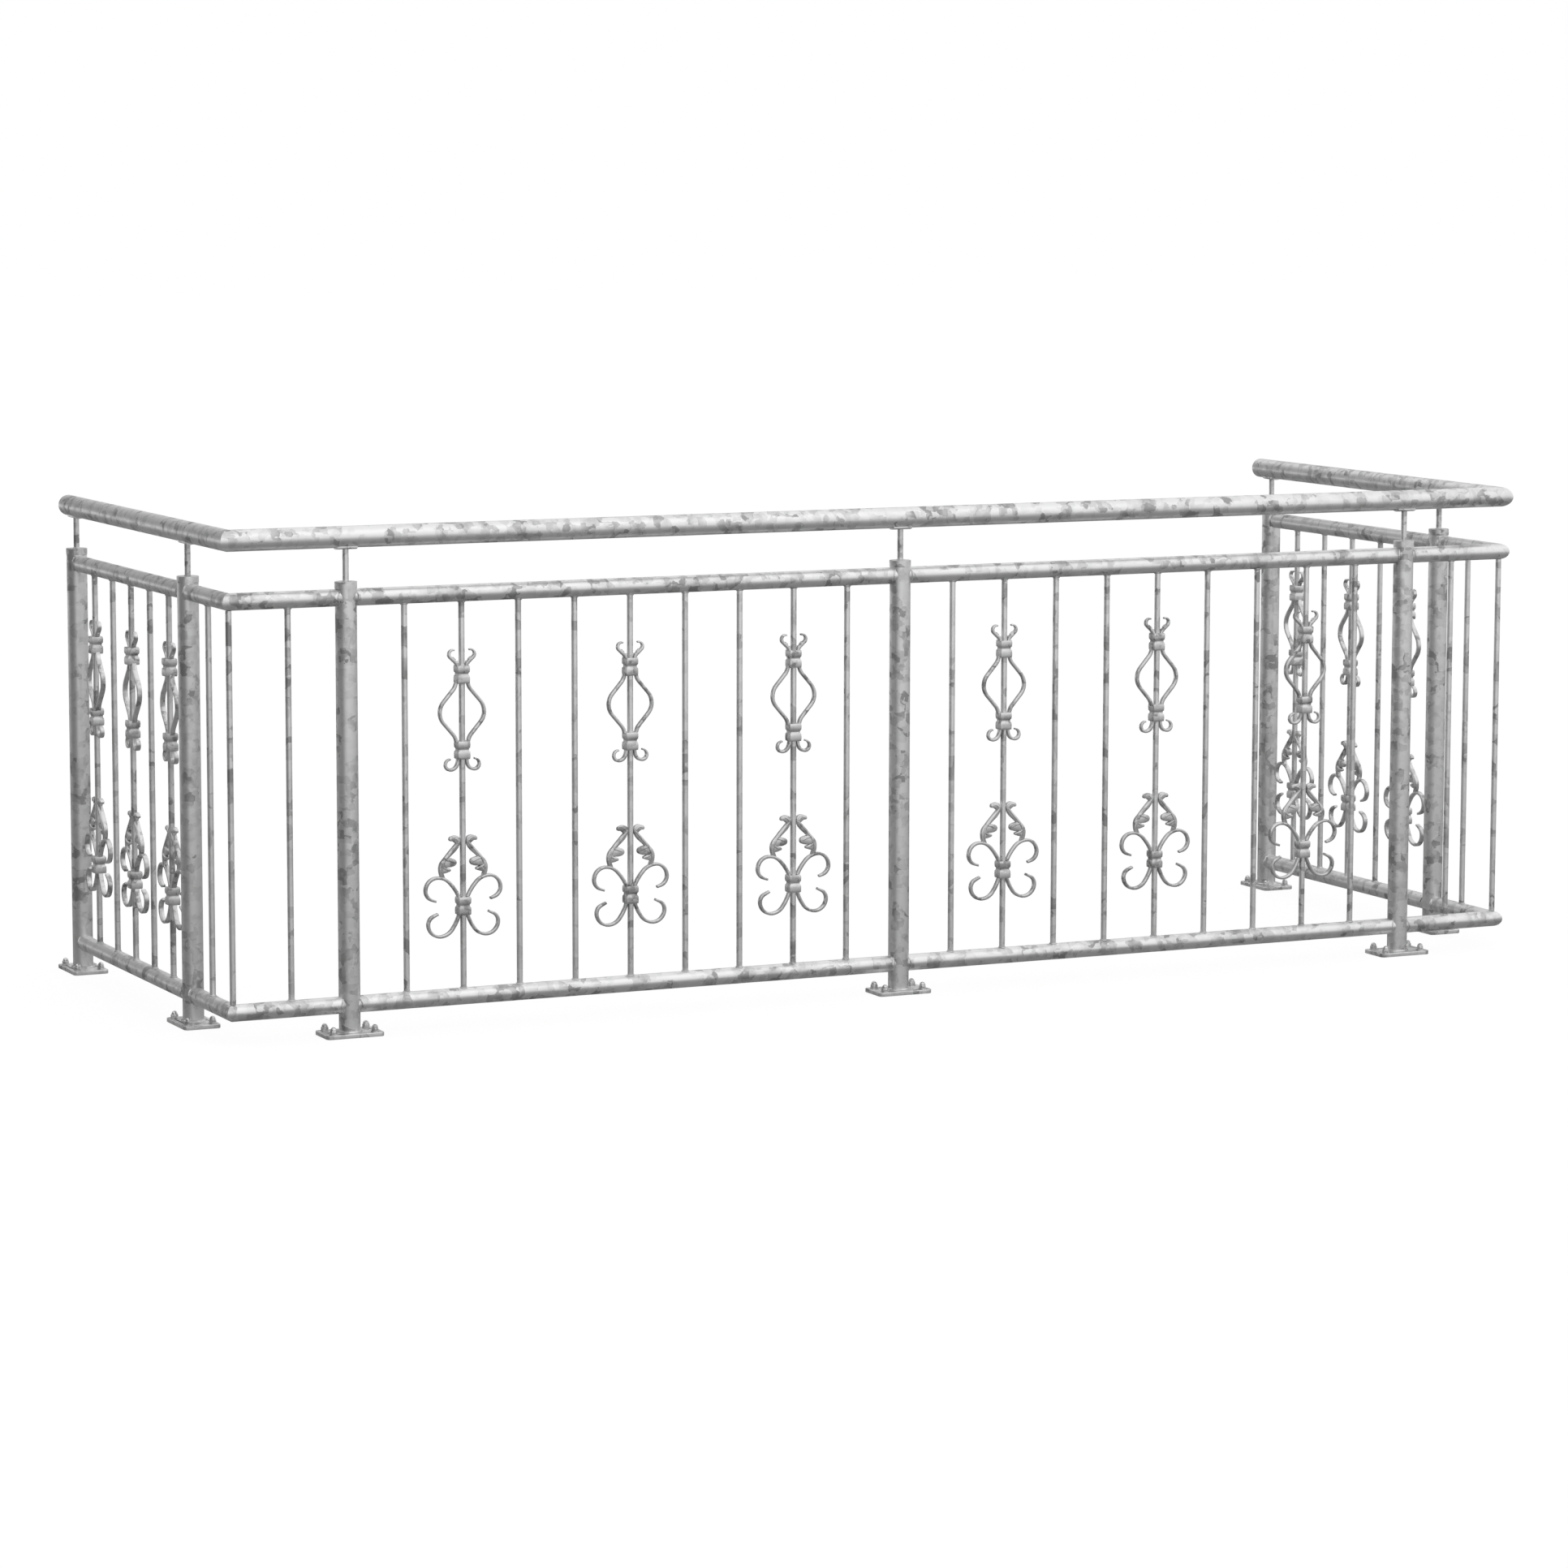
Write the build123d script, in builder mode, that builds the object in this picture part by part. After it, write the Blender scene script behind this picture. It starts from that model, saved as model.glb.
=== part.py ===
"""Balcony railing of galvanised steel: a U in plan, with two front bays, two mitred corners and
two side bays. Tube posts on base plates carry an upper and a lower rail. Round balusters stand
between the rails, some with a lyre and scrolls held by square collars. A handrail runs above on
spindles. Origin: bottom centre of the whole; +X along the front, +Y to the rear, +Z up.
"""

import os
from math import ceil, radians, sin

from build123d import *

os.makedirs("parts", exist_ok=True)

# Layout in plan, in millimetres: posts and balusters stand on one grid.
bar_pitch = 120.0
front_bay_bars = 9
overhang_bars = 1
side_bay_bars = 5
handrail_overrun = 58.0

# Heights, from tube axis to tube axis, stacked up from the floor.
lower_rail_height = 61.0
rail_spacing = 800.0
handrail_rise = 117.8

# Tubes and bars.
post_diameter = 42.4
post_wall = 2.6
rail_diameter = 33.7
rail_wall = 2.6
handrail_diameter = 42.4
handrail_wall = 2.6
bar_diameter = 12.0

# Base plates, with four bolt holes each.
plate_length = 120.0
plate_width = 76.0
plate_thickness = 8.0
plate_corner_radius = 9.0
bolt_spacing_along = 86.0
bolt_spacing_across = 50.0
bolt_hole_diameter = 9.0

# Post caps, handrail spindles with their saddles, and handrail end caps.
cap_diameter = 43.8
cap_height = 13.0
cap_above_rail = 1.2
spindle_diameter = 12.0
saddle_length = 42.0
saddle_width = 24.0
saddle_thickness = 3.0
end_cap_thickness = 6.0
end_cap_chamfer = 3.0

# Ornament: flat strip section, the most that a strip turns from one flat of a bend to the next,
# and square collars.
strip_thickness = 5.0
strip_breadth = 9.0
strip_bend_step = 28.0
collar_width = 26.0
collar_depth = 22.0
collar_height = 35.5
collar_upper_band = 13.0
collar_lower_band = 15.0
collar_waist_inset = 2.8
collar_taper = 9.0

# Ornament: heights of the collars' undersides above the lower rail's axis.
scroll_collar_height = 163.0
lyre_lower_collar_height = 472.5
lyre_upper_collar_height = 622.0

# Lyre: belly arc, straight flank, then a neck arc up to the collar.
lyre_belly_reach = 46.7
lyre_belly_radius = 32.3
lyre_belly_angle = 41.0
lyre_flank = 30.0
lyre_neck_radius = 27.6
lyre_neck_angle = 28.0

# Other strips start beside the bar, on a collar, and are arcs of (radius, signed angle).
strip_start = 9.0
top_curl_arcs = ((14.0, -50.0), (200.0, 4.0), (8.5, 155.0))
bottom_curl_arcs = ((29.5, 25.0), (14.9, 65.0), (10.5, 180.0))
upper_scroll_lean = 66.0
upper_scroll_arcs = ((100.0, -20.0), (37.0, -46.0), (24.4, -90.0), (20.5, -72.0))
upper_scroll_tail = 8.0
lower_scroll_lean = 73.0
lower_scroll_arcs = ((95.0, 20.0), (31.1, 53.0), (25.3, 90.0), (17.0, 65.0))
lower_scroll_tail = 11.8

# Barbs on the top curl: across from the bar's axis, and above the upper collar.
top_curl_barbs = (
    ((12.5, 12.0), (20.8, 7.4), (18.0, 17.0)),
    ((8.0, 8.5), (16.8, 2.6), (9.0, 2.0)),
)

# Leaf outline: across from the bar's axis, and above the scroll's collar.
leaf_head = ((4.0, 119.0), (14.0, 122.3), (24.0, 120.3), (29.5, 115.0), (24.0, 110.8))
leaf_arm = ((14.5, 107.0), (39.5, 80.0))
leaf_back = ((50.0, 66.0), (51.0, 52.0), (48.0, 40.5))
leaf_foot = ((38.0, 37.0), (42.0, 48.5))
leaf_small_lobe = ((33.0, 50.5), (26.5, 54.8), (32.5, 59.0))
leaf_notch = ((36.5, 60.3),)
leaf_large_lobe = ((22.0, 61.5), (15.2, 66.0), (15.2, 72.5), (21.5, 77.0))
leaf_crook = ((30.0, 79.0), (4.0, 107.0))

# Which balusters of a bay carry the ornament, counted from the front middle or the front.
front_ornament_bars = (2, 5, 8)
side_ornament_bars = (1, 3, 5)

# Places worked out from the sizes above.
front_bay = (front_bay_bars + 1) * bar_pitch
overhang = (overhang_bars + 1) * bar_pitch
side_bay = (side_bay_bars + 1) * bar_pitch
corner_x = front_bay + overhang
handrail_reach = overhang + side_bay + handrail_overrun
front_y = -(handrail_reach - plate_width / 2) / 2
rear_y = front_y + handrail_reach
side_front_y = front_y + overhang
side_rear_y = side_front_y + side_bay
upper_rail_height = lower_rail_height + rail_spacing
handrail_height = upper_rail_height + handrail_rise
post_top = upper_rail_height + rail_diameter / 2 + cap_above_rail
cap_top = post_top + cap_height

front_posts = {
    "post_front_left": Location((-front_bay, front_y, 0)),
    "post_front_middle": Location((0, front_y, 0)),
    "post_front_right": Location((front_bay, front_y, 0)),
}
side_posts = {
    "post_left_front": Location((-corner_x, side_front_y, 0), (0, 0, 90)),
    "post_left_rear": Location((-corner_x, side_rear_y, 0), (0, 0, 90)),
    "post_right_front": Location((corner_x, side_front_y, 0), (0, 0, 90)),
    "post_right_rear": Location((corner_x, side_rear_y, 0), (0, 0, 90)),
}
posts = {**front_posts, **side_posts}


def save(piece, name):
    """Label a finished piece and write it as its own file."""
    piece.label = name
    export_step(piece, f"parts/{name}.step")


# Posts: one tube, set on its base plate and closed by its cap.
for name, place in posts.items():
    with BuildPart() as post:
        with BuildSketch(Plane(place).offset(plate_thickness)):
            Circle(post_diameter / 2)
            Circle(post_diameter / 2 - post_wall, mode=Mode.SUBTRACT)
        extrude(amount=post_top - plate_thickness)
    save(post.part, name)

# Base plate: longer along the railing than across it.
with BuildPart() as base_plate:
    with BuildSketch():
        RectangleRounded(plate_length, plate_width, plate_corner_radius)
        with GridLocations(bolt_spacing_along, bolt_spacing_across, 2, 2):
            Circle(bolt_hole_diameter / 2, mode=Mode.SUBTRACT)
    extrude(amount=plate_thickness)

for name, places in (("base_plates_front", front_posts), ("base_plates_sides", side_posts)):
    with BuildPart() as base_plates:
        with Locations(*places.values()):
            add(base_plate.part)
    save(base_plates.part, name)

# Post caps: flat discs a little wider than the posts.
with BuildPart() as post_caps:
    for place in posts.values():
        with BuildSketch(Plane(place).offset(post_top)):
            Circle(cap_diameter / 2)
        extrude(amount=cap_height)
save(post_caps.part, "post_caps")

# Handrail bracket: a spindle on the cap and a saddle bent round the handrail's underside.
with BuildPart() as bracket:
    with BuildSketch(Plane.YZ.offset(-saddle_length / 2)):
        with Locations((0, handrail_height)):
            Circle(handrail_diameter / 2 + saddle_thickness)
        with Locations((0, handrail_height - handrail_diameter / 2)):
            Rectangle(saddle_width, handrail_diameter, mode=Mode.INTERSECT)
    extrude(amount=saddle_length)
    with BuildSketch(Plane.XY.offset(cap_top)):
        Circle(spindle_diameter / 2)
    extrude(amount=handrail_height - cap_top)
    with BuildSketch(Plane.YZ.offset(-saddle_length)):
        with Locations((0, handrail_height)):
            Circle(handrail_diameter / 2)
    extrude(amount=2 * saddle_length, mode=Mode.SUBTRACT)
    with BuildSketch(Plane.YZ.offset(-saddle_length)):
        with Locations((0, handrail_height)):
            Rectangle(2 * handrail_diameter, handrail_diameter, align=(Align.CENTER, Align.MIN))
    extrude(amount=2 * saddle_length, mode=Mode.SUBTRACT)

with BuildPart() as handrail_brackets:
    with Locations(*posts.values()):
        add(bracket.part)
save(handrail_brackets.part, "handrail_brackets")

# Handrail: three tubes mitred at the corners, closed at the rear ends by chamfered caps.
left_mitre = Plane((-corner_x, front_y, 0), x_dir=(0, 0, 1), z_dir=(1, -1, 0))
right_mitre = Plane((corner_x, front_y, 0), x_dir=(0, 0, 1), z_dir=(-1, -1, 0))
mitre_allowance = handrail_diameter

with BuildPart() as handrail_front:
    with BuildSketch(Plane.YZ.offset(-corner_x - mitre_allowance)):
        with Locations((front_y, handrail_height)):
            Circle(handrail_diameter / 2)
            Circle(handrail_diameter / 2 - handrail_wall, mode=Mode.SUBTRACT)
    extrude(amount=2 * (corner_x + mitre_allowance))
    split(bisect_by=left_mitre, keep=Keep.TOP)
    split(bisect_by=right_mitre, keep=Keep.TOP)
save(handrail_front.part, "handrail_front")

side_handrail_end = rear_y - end_cap_thickness
for name, side_x, mitre in (
    ("handrail_left", -corner_x, left_mitre),
    ("handrail_right", corner_x, right_mitre),
):
    with BuildPart() as handrail_side:
        with BuildSketch(Plane.XZ.offset(-side_handrail_end)):
            with Locations((side_x, handrail_height)):
                Circle(handrail_diameter / 2)
                Circle(handrail_diameter / 2 - handrail_wall, mode=Mode.SUBTRACT)
        extrude(amount=side_handrail_end - front_y + mitre_allowance)
        split(bisect_by=mitre, keep=Keep.BOTTOM)
    save(handrail_side.part, name)

with BuildPart() as handrail_end_caps:
    with BuildSketch(Plane.XZ.offset(-side_handrail_end)):
        with Locations((-corner_x, handrail_height), (corner_x, handrail_height)):
            Circle(handrail_diameter / 2)
    extrude(amount=-end_cap_thickness)
    chamfer(handrail_end_caps.edges().group_by(Axis.Y)[-1], end_cap_chamfer)
save(handrail_end_caps.part, "handrail_end_caps")

# Rails: tubes coped to the posts. Each run is a list of points in plan, from post to post.
rail_runs = {
    "front_left": [(-front_bay, front_y), (0, front_y)],
    "front_right": [(0, front_y), (front_bay, front_y)],
    "corner_left": [(-front_bay, front_y), (-corner_x, front_y), (-corner_x, side_front_y)],
    "corner_right": [(front_bay, front_y), (corner_x, front_y), (corner_x, side_front_y)],
    "left": [(-corner_x, side_front_y), (-corner_x, side_rear_y)],
    "right": [(corner_x, side_front_y), (corner_x, side_rear_y)],
}
rail_levels = {"lower_rail": lower_rail_height, "upper_rail": upper_rail_height}


def rail_solid(points, height, diameter):
    """A round bar along a run of points in plan, mitred where the run turns."""
    with BuildPart() as bar:
        with BuildLine() as path:
            Polyline(*[(x, y, height) for x, y in points])
        with BuildSketch(Plane(path.line @ 0, z_dir=path.line % 0)):
            Circle(diameter / 2)
        sweep(path=path.line, transition=Transition.RIGHT)
    return bar.part


for level, height in rail_levels.items():
    for run, points in rail_runs.items():
        with BuildPart() as rail:
            add(rail_solid(points, height, rail_diameter))
            add(rail_solid(points, height, rail_diameter - 2 * rail_wall), mode=Mode.SUBTRACT)
            with Locations(points[0], points[-1]):
                Cylinder(
                    post_diameter / 2,
                    post_top,
                    align=(Align.CENTER, Align.CENTER, Align.MIN),
                    mode=Mode.SUBTRACT,
                )
        save(rail.part, f"{level}_{run}")

# Balusters: round bars cut square between the rails, on the grid between the posts.
bar_places = {
    "front_left": [(-bar_pitch * count, front_y) for count in range(1, front_bay_bars + 1)],
    "front_right": [(bar_pitch * count, front_y) for count in range(1, front_bay_bars + 1)],
    "left": [(-corner_x, side_front_y + bar_pitch * count) for count in range(1, side_bay_bars + 1)],
    "right": [(corner_x, side_front_y + bar_pitch * count) for count in range(1, side_bay_bars + 1)],
    "corner_left": [(-corner_x, front_y)]
    + [(bar_pitch * count - corner_x, front_y) for count in range(1, overhang_bars + 1)]
    + [(-corner_x, front_y + bar_pitch * count) for count in range(1, overhang_bars + 1)],
    "corner_right": [(corner_x, front_y)]
    + [(corner_x - bar_pitch * count, front_y) for count in range(1, overhang_bars + 1)]
    + [(corner_x, front_y + bar_pitch * count) for count in range(1, overhang_bars + 1)],
}

for run, places in bar_places.items():
    with BuildPart() as balusters:
        with BuildSketch(Plane.XY.offset(lower_rail_height + rail_diameter / 2)):
            with Locations(*places):
                Circle(bar_diameter / 2)
        extrude(amount=rail_spacing - rail_diameter)
    save(balusters.part, f"balusters_{run}")

# Ornament strips: centre lines on the right of the bar, drawn upright in the bay's plane.
lyre_collar_top = lyre_upper_collar_height + collar_height
lyre_middle = (lyre_upper_collar_height + lyre_lower_collar_height + collar_height) / 2
scroll_collar_top = scroll_collar_height + collar_height
collar_heights = (scroll_collar_height, lyre_lower_collar_height, lyre_upper_collar_height)


def bend(start, direction, radius, angle):
    """Equal flats along an arc of this radius and signed angle; returns its end and heading."""
    flats = ceil(abs(angle) / strip_bend_step)
    turn = angle / flats
    flat_length = 2 * radius * sin(radians(abs(turn) / 2))
    for _ in range(flats):
        direction = direction.rotate(Axis.Z, turn / 2)
        Line(start, start + direction * flat_length)
        start += direction * flat_length
        direction = direction.rotate(Axis.Z, turn / 2)
    return start, direction


def strip_line(height, heading, arcs, tail):
    """From a collar's face: arcs (radius, angle) that follow on from each other, then a tail."""
    direction = Vector(1, 0).rotate(Axis.Z, heading)
    end = Vector(strip_start, height)
    Line(end - direction * strip_thickness, end)
    for radius, angle in arcs:
        end, direction = bend(end, direction, radius, angle)
    if tail:
        Line(end, end + direction * tail)


def cut_collars():
    """Take the collars' outlines out of the current sketch, so that strips end on their faces."""
    with Locations(*[(0, height) for height in collar_heights]):
        Rectangle(
            collar_width + 2 * strip_thickness,
            collar_height,
            align=(Align.CENTER, Align.MIN),
            mode=Mode.SUBTRACT,
        )


# Lyre: two bowed strips between its collars, curled out above and below, with small barbs.
with BuildPart() as lyre:
    with BuildSketch(Plane.XZ):
        with BuildLine():
            belly_start = Vector(lyre_belly_reach, lyre_middle)
            belly_end, slope = bend(belly_start, Vector(0, 1), lyre_belly_radius, lyre_belly_angle)
            flank = Line(belly_end, belly_end + slope * lyre_flank)
            neck_end, upright = bend(flank @ 1, slope, lyre_neck_radius, -lyre_neck_angle)
            Line(neck_end, neck_end + upright * strip_thickness)
            mirror(about=Plane.XZ.offset(-lyre_middle))
        trace(line_width=strip_thickness)
        with BuildLine():
            strip_line(lyre_collar_top, 90, top_curl_arcs, tail=0)
        trace(line_width=strip_thickness)
        with BuildLine():
            strip_line(lyre_lower_collar_height, -90, bottom_curl_arcs, tail=0)
        trace(line_width=strip_thickness)
        with Locations((0, lyre_collar_top)):
            for barb in top_curl_barbs:
                Polygon(*barb, align=None)
        cut_collars()
    extrude(amount=strip_breadth / 2, both=True)
    mirror(about=Plane.YZ)

# Scroll: four C strips on one collar; on each upper one a leaf leans against the bar.
with BuildPart() as scroll:
    with BuildSketch(Plane.XZ):
        with BuildLine():
            strip_line(scroll_collar_top, upper_scroll_lean, upper_scroll_arcs, upper_scroll_tail)
        trace(line_width=strip_thickness)
        with BuildLine():
            strip_line(scroll_collar_height, -lower_scroll_lean, lower_scroll_arcs, lower_scroll_tail)
        trace(line_width=strip_thickness)
        with Locations((0, scroll_collar_top)):
            Polygon(
                *leaf_head,
                *leaf_arm,
                *leaf_back,
                *leaf_foot,
                *leaf_small_lobe,
                *leaf_notch,
                *leaf_large_lobe,
                *leaf_crook,
                align=None,
            )
        cut_collars()
    extrude(amount=strip_breadth / 2, both=True)
    mirror(about=Plane.YZ)
    Cylinder(
        bar_diameter / 2,
        rail_spacing,
        align=(Align.CENTER, Align.CENTER, Align.MIN),
        mode=Mode.SUBTRACT,
    )

# Collar: two barrel-faced bands and a waist round the bar.
with BuildPart() as collar:
    waist_width = collar_width - 2 * collar_waist_inset
    waist_depth = collar_depth - 2 * collar_waist_inset
    with BuildSketch():
        Rectangle(waist_width, waist_depth)
    extrude(amount=collar_height)
    for band_middle, band in (
        (collar_lower_band / 2, collar_lower_band),
        (collar_height - collar_upper_band / 2, collar_upper_band),
    ):
        for half_band in (band / 2, -band / 2):
            with BuildSketch(Plane.XY.offset(band_middle)):
                Rectangle(collar_width, collar_depth)
            extrude(amount=half_band, taper=collar_taper)
    with BuildSketch():
        Circle(bar_diameter / 2)
    extrude(amount=collar_height, mode=Mode.SUBTRACT)

ornament_bars = {
    "front_left": [(-bar_pitch * count, front_y) for count in front_ornament_bars],
    "front_right": [(bar_pitch * count, front_y) for count in front_ornament_bars],
    "left": [(-corner_x, side_front_y + bar_pitch * count) for count in side_ornament_bars],
    "right": [(corner_x, side_front_y + bar_pitch * count) for count in side_ornament_bars],
}
ornament_pieces = {"lyres": (lyre, (0,)), "scrolls": (scroll, (0,)), "collars": (collar, collar_heights)}

for run, bars in ornament_bars.items():
    turn = 0 if run.startswith("front") else 90
    for kind, (piece, heights) in ornament_pieces.items():
        with BuildPart() as ornaments:
            with Locations(
                *[
                    Location((x, y, lower_rail_height + height), (0, 0, turn))
                    for x, y in bars
                    for height in heights
                ]
            ):
                add(piece.part)
        save(ornaments.part, f"{kind}_{run}")
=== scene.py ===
import math

import bmesh
import bpy
from mathutils import Matrix, Vector


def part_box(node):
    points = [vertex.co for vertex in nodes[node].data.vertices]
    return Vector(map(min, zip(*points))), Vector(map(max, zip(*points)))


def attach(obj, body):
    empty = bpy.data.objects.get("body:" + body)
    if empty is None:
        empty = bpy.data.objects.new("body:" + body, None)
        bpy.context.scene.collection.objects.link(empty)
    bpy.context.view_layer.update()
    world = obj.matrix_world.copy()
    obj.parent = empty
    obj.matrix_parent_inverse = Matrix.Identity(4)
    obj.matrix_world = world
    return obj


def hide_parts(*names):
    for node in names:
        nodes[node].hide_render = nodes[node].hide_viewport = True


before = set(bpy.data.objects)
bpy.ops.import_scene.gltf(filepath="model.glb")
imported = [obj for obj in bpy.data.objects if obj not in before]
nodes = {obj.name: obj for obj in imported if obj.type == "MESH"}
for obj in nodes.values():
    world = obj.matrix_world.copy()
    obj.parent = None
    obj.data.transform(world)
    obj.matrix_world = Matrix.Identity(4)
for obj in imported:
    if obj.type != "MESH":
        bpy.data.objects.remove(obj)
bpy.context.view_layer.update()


# Posts: seven round steel tubes, 42.4 mm thick, hot-dip galvanised after the panels were welded.
# Molten zinc ran down them and froze as a pale metal skin with darker crystal patches and slow
# ripples.

def linear(hex_colour):
    """An sRGB hex colour as linear red, green, blue and alpha."""
    channels = [int(hex_colour[start:start + 2], 16) / 255 for start in (0, 2, 4)]
    return tuple(c / 12.92 if c <= 0.04045 else ((c + 0.055) / 1.055) ** 2.4 for c in channels) + (1,)


def add_node(tree, kind, settings=None, links=None):
    """Adds a node, fills in its settings and sockets, and links the given outputs to its inputs."""
    node = tree.nodes.new(kind)
    for name, value in (settings or {}).items():
        if isinstance(name, int) or name in node.inputs:
            node.inputs[name].default_value = value
        else:
            setattr(node, name, value)
    for name, output in (links or {}).items():
        tree.links.new(output, node.inputs[name])
    return node


# The crystals come in two sizes, mixed, and their edges fray by half a small crystal. Slow clouds
# gather the dull ones. Where the pattern reaches the value palest or dullest the zinc is fully
# so, and the scarcity holds the dull zinc back to few crystals.
frayed_part = 0.5
large_crystal_size = 2.2
large_crystal_share = 0.55
cloud_weight = 0.8
palest, dullest = 0.55, 1.3
dull_scarcity = 2.4

# Zinc's own grain is finer than the render can show, so it is drawn 2.5 mm coarse.
grain_mm = 2.5
grain_depth_mm = 0.06
grain_strength = 0.6


def zinc_coat(
    name, bright, dull, patch_mm, crystal_mm, ripple_mm, ripple_depth_mm, roughness_range=(0.4, 0.52)
):
    """Hot-dip zinc: satin metal in crystals, some pale and some dull, with slow ripples.

    A metal gives the eye only reflections, so the crystals differ in shade and gloss and the
    ripples bend the light parts of the studio. Crystals clump into patches of about patch_mm.
    """
    material = bpy.data.materials.new(name)
    material.use_nodes = True
    tree = material.node_tree
    shader = tree.nodes["Principled BSDF"]
    shader.inputs["Metallic"].default_value = 1.0
    place = add_node(tree, "ShaderNodeTexCoord").outputs["Object"]
    wander = add_node(
        tree, "ShaderNodeTexNoise",
        {"Scale": 1000 / crystal_mm, "Detail": 2.0},
        {"Vector": place},
    ).outputs["Color"]
    frayed_place = add_node(
        tree, "ShaderNodeVectorMath",
        {"operation": "MULTIPLY_ADD", 1: (frayed_part * crystal_mm / 1000,) * 3},
        {0: wander, 2: place},
    ).outputs["Vector"]

    crystal_shades = []
    for size_mm in (crystal_mm, crystal_mm * large_crystal_size):
        crystals = add_node(
            tree, "ShaderNodeTexVoronoi",
            {"distance": "CHEBYCHEV", "Scale": 1000 / size_mm},
            {"Vector": frayed_place},
        ).outputs["Color"]
        shade = add_node(tree, "ShaderNodeSeparateColor", links={"Color": crystals}).outputs["Red"]
        crystal_shades.append(shade)
    crystal_shade = add_node(
        tree, "ShaderNodeMix",
        {0: large_crystal_share},
        {2: crystal_shades[0], 3: crystal_shades[1]},
    ).outputs[0]
    clouds = add_node(
        tree, "ShaderNodeTexNoise",
        {"Scale": 1000 / patch_mm, "Detail": 3.0, "Roughness": 0.6},
        {"Vector": place},
    ).outputs["Fac"]
    dullness = add_node(
        tree, "ShaderNodeMath",
        {"operation": "MULTIPLY_ADD", 1: cloud_weight},
        {0: clouds, 2: crystal_shade},
    ).outputs["Value"]
    even_share = add_node(
        tree, "ShaderNodeMapRange",
        {"From Min": palest, "From Max": dullest},
        {"Value": dullness},
    ).outputs["Result"]
    dull_share = add_node(
        tree, "ShaderNodeMath",
        {"operation": "POWER", 1: dull_scarcity},
        {0: even_share},
    ).outputs["Value"]
    colour = add_node(
        tree, "ShaderNodeMix",
        {"data_type": "RGBA", 6: linear(bright), 7: linear(dull)},
        {0: dull_share},
    ).outputs[2]
    tree.links.new(colour, shader.inputs["Base Color"])
    roughness = add_node(
        tree, "ShaderNodeMapRange",
        {"To Min": roughness_range[0], "To Max": roughness_range[1]},
        {"Value": dull_share},
    ).outputs["Result"]
    tree.links.new(roughness, shader.inputs["Roughness"])

    ripples = add_node(
        tree, "ShaderNodeTexNoise",
        {"Scale": 1000 / ripple_mm, "Detail": 2.0, "Roughness": 0.45},
        {"Vector": place},
    ).outputs["Fac"]
    grain = add_node(
        tree, "ShaderNodeTexNoise",
        {"Scale": 1000 / grain_mm, "Detail": 2.0},
        {"Vector": place},
    ).outputs["Fac"]
    slow_bump = add_node(
        tree, "ShaderNodeBump",
        {"Strength": 1.0, "Distance": ripple_depth_mm / 1000},
        {"Height": ripples},
    ).outputs["Normal"]
    fine_bump = add_node(
        tree, "ShaderNodeBump",
        {"Strength": grain_strength, "Distance": grain_depth_mm / 1000},
        {"Height": grain, "Normal": slow_bump},
    ).outputs["Normal"]
    tree.links.new(fine_bump, shader.inputs["Normal"])
    return material


def finish_nodes(material, *starts):
    """Gives the material to each solid whose name starts with one of these words."""
    for name, node in nodes.items():
        if name.startswith(starts):
            for material_slot in node.material_slots:
                material_slot.material = material


def middle(node):
    """The middle of a solid's box, in metres."""
    low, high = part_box(node)
    return (Vector(low) + Vector(high)) / 2


def half_size_mm(node, axis):
    """Half of a solid's box along an axis, in millimetres."""
    low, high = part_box(node)
    return 1000 * (high[axis] - low[axis]) / 2


# Thick zinc on a heavy tube: large crystals in patches 50 mm wide, and long ripples.
tube_zinc = zinc_coat(
    "hot_dip_zinc_on_tube", bright="EAEAEA", dull="A6A6A6",
    patch_mm=50, crystal_mm=14, ripple_mm=40, ripple_depth_mm=0.08,
)
post_starts = ("post_front", "post_left", "post_right")
finish_nodes(tube_zinc, *post_starts)
post_places = {
    name: Vector((*middle(name).xy, 0)) for name in sorted(nodes) if name.startswith(post_starts)
}
post_radius_mm = half_size_mm("post_front_middle", axis=0)


# Base plates: flame-cut steel, 8 mm thick, welded under the posts and dipped with them.
# The zinc lies a little thicker and paler on them, and rounds their edges.

def soften_edges(node, width_mm):
    """Rounds a solid's sharp edges, as the zinc does."""
    weld = node.modifiers.new("join_faces", "WELD")
    weld.merge_threshold = 1e-6
    bevel = node.modifiers.new("rounded_edges", "BEVEL")
    bevel.width = width_mm / 1000
    bevel.segments = 2
    bevel.limit_method = "ANGLE"
    bevel.angle_limit = math.radians(40)
    bevel.use_clamp_overlap = True
    node.modifiers.new("smooth_shading", "WEIGHTED_NORMAL")


# A flat plate holds an even, thick coat, which looks pale, with smaller crystals.
plate_zinc = zinc_coat(
    "hot_dip_zinc_on_plate", bright="F2F2F2", dull="A8A8A8",
    patch_mm=40, crystal_mm=12, ripple_mm=20, ripple_depth_mm=0.1,
)
finish_nodes(plate_zinc, "base_plates")
for name in ("base_plates_front", "base_plates_sides"):
    soften_edges(nodes[name], width_mm=0.9)
plate_top_mm = 1000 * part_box("base_plates_front")[1][2]


# Fixings: on each base plate four domed M8 cap nuts on round washers, zinc plated and
# glossier than the dipped steel. They hold the plate to the balcony's edge.

def skin(rings, closed=False):
    """Points and faces over rings of as many points each; closed joins the last to the first."""
    count = len(rings[0])
    points = [point for ring in rings for point in ring]
    faces = []
    for index in range(len(rings) if closed else len(rings) - 1):
        here = index * count
        there = (index + 1) % len(rings) * count
        for step in range(count):
            following = (step + 1) % count
            faces.append((here + step, here + following, there + following, there + step))
    if not closed:
        faces.append(tuple(reversed(range(count))))
        faces.append(tuple(range(len(points) - count, len(points))))
    return points, faces


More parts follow.
